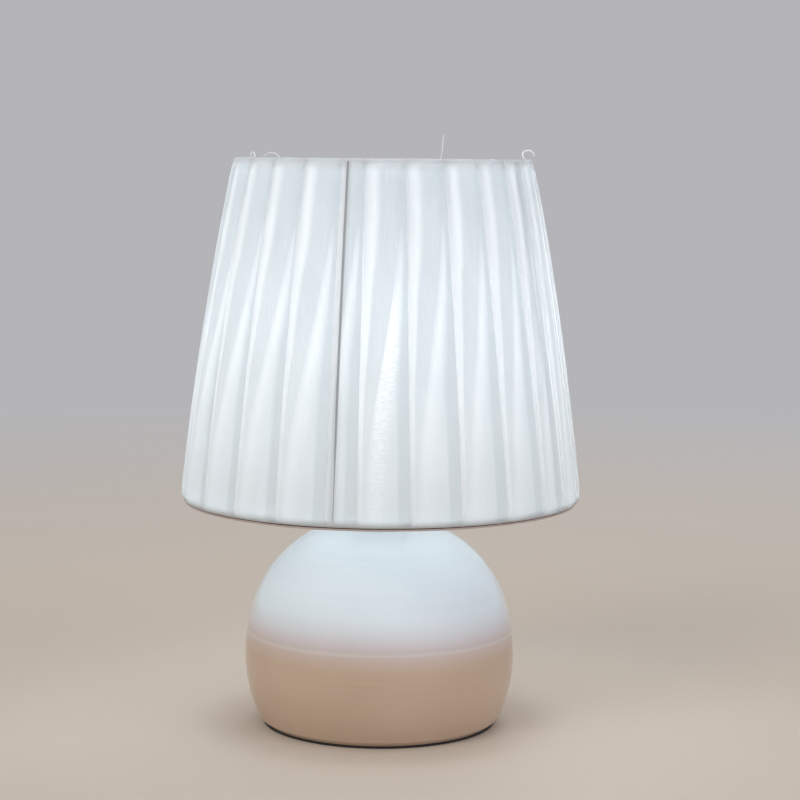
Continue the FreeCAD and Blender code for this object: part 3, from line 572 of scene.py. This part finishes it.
def make_panel(number, material):
    rows, cell, cloth, beats, under = [], [], [], [], []
    reach = HIGH_LEVEL - LOW_LEVEL
    heights = [LOW_LEVEL + reach * (level / LEVELS) ** LEVEL_SPREAD for level in range(LEVELS + 1)]
    heights += [HIGH_LEVEL + lift for lift in TURNED_LEVELS]
    for height in heights:
        columns, radius, down = panel_columns(number, height)
        inset = rim_inset(height)
        row, cell_row, cloth_row, beat_row = [], [], [], []
        run = 0.0
        before = None
        for place, off, share, _ in columns:
            if before:
                run += math.hypot(place - before[0], off - before[1])
            before = (place, off)
            angle = SEAM_ANGLE + PANEL_ANGLE * number + math.degrees(place / radius)
            ripple = 0.12 * noise.noise(Vector((angle * 0.35, height * 0.035, number)))
            lift = 0.3 * smooth(0.02, 0.0, down) * noise.noise(Vector((angle * 0.11, off * 0.6, number + 3.5)))
            row.append(around(angle, radius + off + ripple - inset, height + lift))
            cell_row.append((share, down))
            cloth_row.append((run * MM, height * MM))
            centre = math.exp(-((angle - MOIRE_ANGLE) / MOIRE_SPREAD) ** 2) * smooth(0.25, 0.5, down)
            beat_row.append(0.15 + 0.85 * centre)
        rows.append(row)
        cell.append(cell_row)
        cloth.append(cloth_row)
        beats.append(beat_row)
        under.append([column[3] for column in columns])
    return grid_piece(f"pleated_cloth_{number + 1}", rows, material,
                      maps={"Cell": cell, "Cloth": cloth}, values={"beats": beats, "under": under})


SEAM_LOW = 114.2
SEAM_HIGH = 279.0
SEAM_LEVELS = 30
# Share of the slit's half width, and height off the liner
SEAM_PROFILE = ((-1.6, 0.10), (-0.8, 0.20), (0.0, 0.14), (0.8, 0.20), (1.6, 0.10))


def make_seam(number, material):
    """Turned-in edges of two panels, seen in the slit between them, in a grey that is painted shadow. It closes
    towards the bottom.
    """
    rows, cell, cloth = [], [], []
    angle = SEAM_ANGLE + PANEL_ANGLE * number
    for level in range(SEAM_LEVELS + 1):
        height = SEAM_LOW + (SEAM_HIGH - SEAM_LOW) * level / SEAM_LEVELS
        radius = liner_radius(height) - rim_inset(height)
        half = 0.36 * smooth(118.0, 175.0, height) + 0.07
        rows.append([around(angle + math.degrees(share * half / radius), radius + off, height)
                     for share, off in SEAM_PROFILE])
        cell.append([(0.5, 0.5)] * len(SEAM_PROFILE))
        cloth.append([(column * MM, height * MM) for column in range(len(SEAM_PROFILE))])
    return grid_piece(f"panel_seam_{number + 1}", rows, material, maps={"Cell": cell, "Cloth": cloth})


BINDING_STEPS = 180


def make_binding(name, profile, material, wave):
    """A strip of cloth round a rim, in millimetres.

    profile holds (radius, height, mark).
    """
    rows, cell, cloth = [], [], []
    run = 0.0
    before = None
    for radius, height, mark in profile:
        if before:
            run += math.hypot(radius - before[0], height - before[1])
        before = (radius, height)
        row, cell_row, cloth_row = [], [], []
        for step in range(BINDING_STEPS):
            angle = 360 * step / BINDING_STEPS
            lift = wave * noise.noise(Vector(around(angle, 3.2, run * 0.15)))
            row.append(around(angle, radius + lift * 0.5, height + lift))
            cell_row.append((mark, 0.0))
            cloth_row.append((math.radians(angle) * radius * MM, run * MM))
        rows.append(row)
        cell.append(cell_row)
        cloth.append(cloth_row)
    piece = grid_piece(name, rows, material, closed=True, maps={"Cell": cell, "Cloth": cloth})
    return piece


def loose_thread(name, points, radius, material):
    """A short end of sewing thread at the rim, as a thin tube through points in metres."""
    curve = bpy.data.curves.new(name, "CURVE")
    curve.dimensions = "3D"
    spline = curve.splines.new("NURBS")
    spline.points.add(len(points) - 1)
    for point, place in zip(spline.points, points):
        point.co = (*place, 1)
    spline.order_u = 3
    spline.use_endpoint_u = True
    curve.bevel_depth = radius
    curve.bevel_resolution = 2
    curve.resolution_u = 8
    made = add_object(f"{name}_line", curve)
    bpy.context.view_layer.update()
    mesh = bpy.data.meshes.new_from_object(made)
    bpy.data.objects.remove(made)
    for polygon in mesh.polygons:
        polygon.use_smooth = True
    mesh.materials.clear()
    mesh.materials.append(material)
    piece = add_object(name, mesh)
    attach(piece, "shade")


cloth_material = pleated_cloth()
# The seam's grey is painted shadow: the upright wire and the turned-in edges stand dark in the slit against the lit
# bulb
slit_shadow_material = woven("seam_shadow_cloth", (0.50, 0.51, 0.52), share=0.2)
top_material = woven("top_binding_cloth", (0.975, 0.98, 0.985), share=0.9, streak=0.03)
# The bottom binding's outside is a pinkish brown that is largely painted warm shade, its edge mark a painted shadow
# in the gap under the pleats; its inner leg is near white
bottom_material = woven("bottom_binding_cloth", (0.62, 0.52, 0.48), edge=(0.085, 0.045, 0.035),
                        inside=(0.96, 0.965, 0.97), share=0.1)
thread_material = plain("thread", (0.93, 0.93, 0.93), 0.8, grain=300)

for number in range(PANELS):
    panel = make_panel(number, cloth_material)
    seam = make_seam(number, slit_shadow_material)
    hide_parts(f"pleated_panel_{number + 1}")

top_profile = [(72.35, 279.1, 0), (72.3, 279.6, 0), (72.0, 280.0, 0), (71.5, 280.25, 0), (70.8, 280.3, 0),
               (70.0, 280.1, 0), (69.2, 279.3, 0), (69.0, 278.0, 0), (69.2, 275.6, 0), (69.7, 272.2, 0)]
top = make_binding("top_binding", top_profile, top_material, 0.32)
bottom_profile = [(97.2, 114.0, 1), (97.3, 113.4, 1), (97.4, 112.75, 1), (97.25, 112.65, 0.4), (97.4, 112.35, 0),
                  (97.1, 111.8, 0), (96.5, 111.65, 0), (95.9, 111.9, 0), (95.3, 112.5, -0.3), (94.7, 113.4, -1),
                  (94.5, 114.6, -1), (94.2, 118.6, -1)]
bottom = make_binding("bottom_binding", bottom_profile, bottom_material, 0.12)
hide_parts("top_hem")
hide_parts("bottom_hem")

# Radius and points of each thread end, in metres
loose_ends = [
    (0.00035, [(-0.0625, -0.0357, 0.2799), (-0.0626, -0.0368, 0.2821), (-0.0612, -0.0376, 0.2830),
               (-0.0603, -0.0380, 0.2818), (-0.0606, -0.0385, 0.2800)]),
    (0.00025, [(-0.0562, -0.0453, 0.2799), (-0.0545, -0.0474, 0.2822), (-0.0515, -0.0500, 0.2828),
               (-0.0490, -0.0520, 0.2818), (-0.0475, -0.0535, 0.2800)]),
    (0.00022, [(0.0268, -0.0670, 0.2798), (0.0273, -0.0674, 0.2830), (0.0279, -0.0674, 0.2865),
               (0.0278, -0.0672, 0.2895), (0.0283, -0.0668, 0.2915)]),
    (0.00045, [(0.0686, -0.0223, 0.2798), (0.0668, -0.0233, 0.2820), (0.0672, -0.0245, 0.2842),
               (0.0700, -0.0250, 0.2850), (0.0722, -0.0248, 0.2836), (0.0724, -0.0244, 0.2822)]),
]
for number, (radius, points) in enumerate(loose_ends, 1):
    loose_thread(f"loose_thread_{number}", points, radius, thread_material)

# Materials of the nodes that show as they are

white_wire = plain("white_coated_wire", (0.86, 0.87, 0.87), 0.35)
finish = {
    "ceramic_body": glaze(),
    "bottom_plate": plain("pressed_fibreboard", (0.30, 0.21, 0.13), 0.9, 0.25, 250, 0.4),
    "foot_pad": plain("foam_pad", (0.035, 0.033, 0.032), 0.95, 0.3, 400, 0.6),
    "cable_grommet": plain("white_rubber", (0.70, 0.70, 0.69), 0.6),
    "nipple": threaded("threaded_tube", (0.62, 0.62, 0.60), 0.32, 0.001, 0.6, Metallic=1.0),
    "neck_gasket": plain("gasket_rubber", (0.60, 0.60, 0.59), 0.75),
    "neck_cap": plain("brushed_cap", (0.66, 0.66, 0.65), 0.3, 0.12, 90, Metallic=1.0),
    "fibre_washer": plain("red_fibre", (0.23, 0.06, 0.035), 0.85, 0.2, 300),
    "clamp_washer": plain("zinc_plate", (0.60, 0.60, 0.57), 0.35, 0.15, 120, Metallic=1.0),
    "hex_nut": plain("zinc_nut", (0.58, 0.58, 0.55), 0.33, 0.15, 150, Metallic=1.0),
    "lock_screw": plain("screw_steel", (0.55, 0.55, 0.53), 0.3, 0.15, 300, Metallic=1.0),
    "terminal_screws": plain("terminal_steel", (0.60, 0.58, 0.52), 0.3, 0.15, 300, Metallic=1.0),
    "holder_cap": plain("holder_plastic", (0.80, 0.80, 0.78), 0.42),
    "holder_sleeve": threaded("sleeve_thread", (0.80, 0.80, 0.78), 0.42, 0.0025, 0.5),
    "holder_insert": plain("insert_plastic", (0.70, 0.70, 0.66), 0.55),
    "lower_shade_ring": plain("ring_plastic_lower", (0.81, 0.81, 0.79), 0.4),
    "upper_shade_ring": plain("ring_plastic_upper", (0.81, 0.81, 0.79), 0.4),
    "screw_shell": threaded("brass_shell", (0.72, 0.52, 0.22), 0.28, 0.0028, 0.7, Metallic=1.0),
    "centre_contact": plain("contact_brass", (0.72, 0.52, 0.22), 0.3, 0.15, 300, Metallic=1.0),
    "bulb_cap": threaded("rolled_cap", (0.72, 0.72, 0.72), 0.3, 0.0028, 0.8, Metallic=1.0),
    "bulb_insulator": plain("cap_insulator", (0.012, 0.012, 0.014), 0.25),
    "bulb_contact": plain("solder_contact", (0.60, 0.60, 0.60), 0.4, 0.2, 400, Metallic=1.0),
    "bulb_housing": plain("housing_plastic", (0.84, 0.85, 0.86), 0.28),
    "led_board": plain("coated_board", (0.80, 0.80, 0.78), 0.5),
    "led_chips": plain("phosphor", (0.85, 0.72, 0.20), 0.5, 0.1, 500),
    "led_driver": plain("driver_board", (0.03, 0.14, 0.06), 0.5, 0.3, 500),
    "bulb_globe": lit_globe(),
    "shade_liner": liner_sheet(),
    "fitter_ring": white_wire,
    "bottom_ring": white_wire,
    "top_ring": white_wire,
}
for name in nodes:
    if name.startswith(("upright", "spider_arm")):
        finish[name] = white_wire
for name, material in finish.items():
    nodes[name].data.materials.clear()
    nodes[name].data.materials.append(material)

# Stage, light and camera

BACKDROP = (0.46, 0.46, 0.48)
FLOOR_TONE = (0.62, 0.53, 0.44)
FLOOR_TONE_2 = (0.64, 0.55, 0.46)


def make_floor():
    """Pale floor. What the camera sees of it turns into the backdrop's colour further away."""
    size = 12.0
    mesh = bpy.data.meshes.new("floor")
    level = -0.0001
    corners = [(-size, -size, level), (size, -size, level), (size, size, level), (-size, size, level)]
    mesh.from_pydata(corners, [], [(0, 1, 2, 3)])
    material, tree, shader = new_material("floor_paint", 0.6)
    shader.inputs["Specular IOR Level"].default_value = 0.2
    place = coordinates(tree)
    link(tree, mixed(tree, noise_of(tree, place, 3, 2), FLOOR_TONE, FLOOR_TONE_2), shader.inputs["Base Color"])
    backdrop = tree.nodes.new("ShaderNodeEmission")
    backdrop.inputs["Color"].default_value = (*BACKDROP, 1)
    distance = tree.nodes.new("ShaderNodeVectorMath")
    distance.operation = "LENGTH"
    link(tree, place, distance.inputs[0])
    ray = tree.nodes.new("ShaderNodeLightPath")
    far = times(tree, ramp(tree, distance.outputs["Value"], 0.25, 1.6), ray.outputs["Is Camera Ray"])
    show_blend(tree, far, shader, backdrop, tree.nodes["Material Output"])
    mesh.materials.append(material)
    add_object("floor", mesh)


def area_light(name, place, target, size, power, colour=(1, 1, 1), mirrored=False):
    light = bpy.data.lights.new(name, "AREA")
    light.shape = "DISK"
    light.size = size
    light.energy = power
    light.color = colour
    lamp = add_object(name, light)
    lamp.location = place
    lamp.rotation_euler = (Vector(target) - Vector(place)).to_track_quat("-Z", "Y").to_euler()
    lamp.visible_camera = False
    lamp.visible_glossy = mirrored


def bulb_light(place, radius, power, colour):
    light = bpy.data.lights.new("bulb_light", "POINT")
    light.shadow_soft_size = radius
    light.use_soft_falloff = False
    light.energy = power
    light.color = colour
    lamp = add_object("bulb_light", light)
    lamp.location = place
    lamp.visible_camera = False
    lamp.visible_glossy = False
    own = bpy.data.collections.new("bulb_light_leaves_out")
    for name in ("bulb_globe", "bulb_housing"):
        own.objects.link(nodes[name])
    lamp.light_linking.receiver_collection = own
    for entry in own.collection_objects:
        entry.light_linking.link_state = "EXCLUDE"
    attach(lamp, "bulb")


def world_light(colour, strength, seen):
    world = bpy.data.worlds.new("studio")
    bpy.context.scene.world = world
    world.use_nodes = True
    tree = world.node_tree
    tree.nodes.clear()
    output = tree.nodes.new("ShaderNodeOutputWorld")
    lighting = tree.nodes.new("ShaderNodeBackground")
    lighting.inputs["Color"].default_value = (*colour, 1)
    lighting.inputs["Strength"].default_value = strength
    backdrop = tree.nodes.new("ShaderNodeBackground")
    backdrop.inputs["Color"].default_value = (*seen, 1)
    ray = tree.nodes.new("ShaderNodeLightPath")
    show_blend(tree, ray.outputs["Is Camera Ray"], lighting, backdrop, output)


make_floor()
world_light((0.95, 0.97, 1.0), 0.60, BACKDROP)
area_light("key", (-1.3, -1.6, 1.5), (0, 0, 0.15), 1.3, 16)
area_light("fill", (1.6, -1.1, 0.9), (0, 0, 0.15), 1.4, 8.5, (0.83, 0.85, 1.0))
area_light("back", (0.5, 1.6, 1.5), (0, 0, 0.15), 1.2, 6, mirrored=True)
bulb_light((0, 0, 0.197), 0.034, 0.345, (0.86, 0.94, 1.0))

PICTURE_PIXELS = 800
FOCAL_PIXELS = 2180
SENSOR_WIDTH = 36
CAMERA_PLACE = (0.0082, -1.075, 0.280)
CAMERA_DOWN = 6.3
CAMERA_ROLL = -0.5

camera = bpy.data.cameras.new("camera")
camera.sensor_width = SENSOR_WIDTH
camera.lens = FOCAL_PIXELS / PICTURE_PIXELS * SENSOR_WIDTH
seen_from = add_object("camera", camera)
seen_from.location = CAMERA_PLACE
seen_from.rotation_euler = (math.radians(90 - CAMERA_DOWN), math.radians(CAMERA_ROLL), 0)
bpy.context.scene.camera = seen_from
bpy.context.scene.view_settings.view_transform = "Standard"
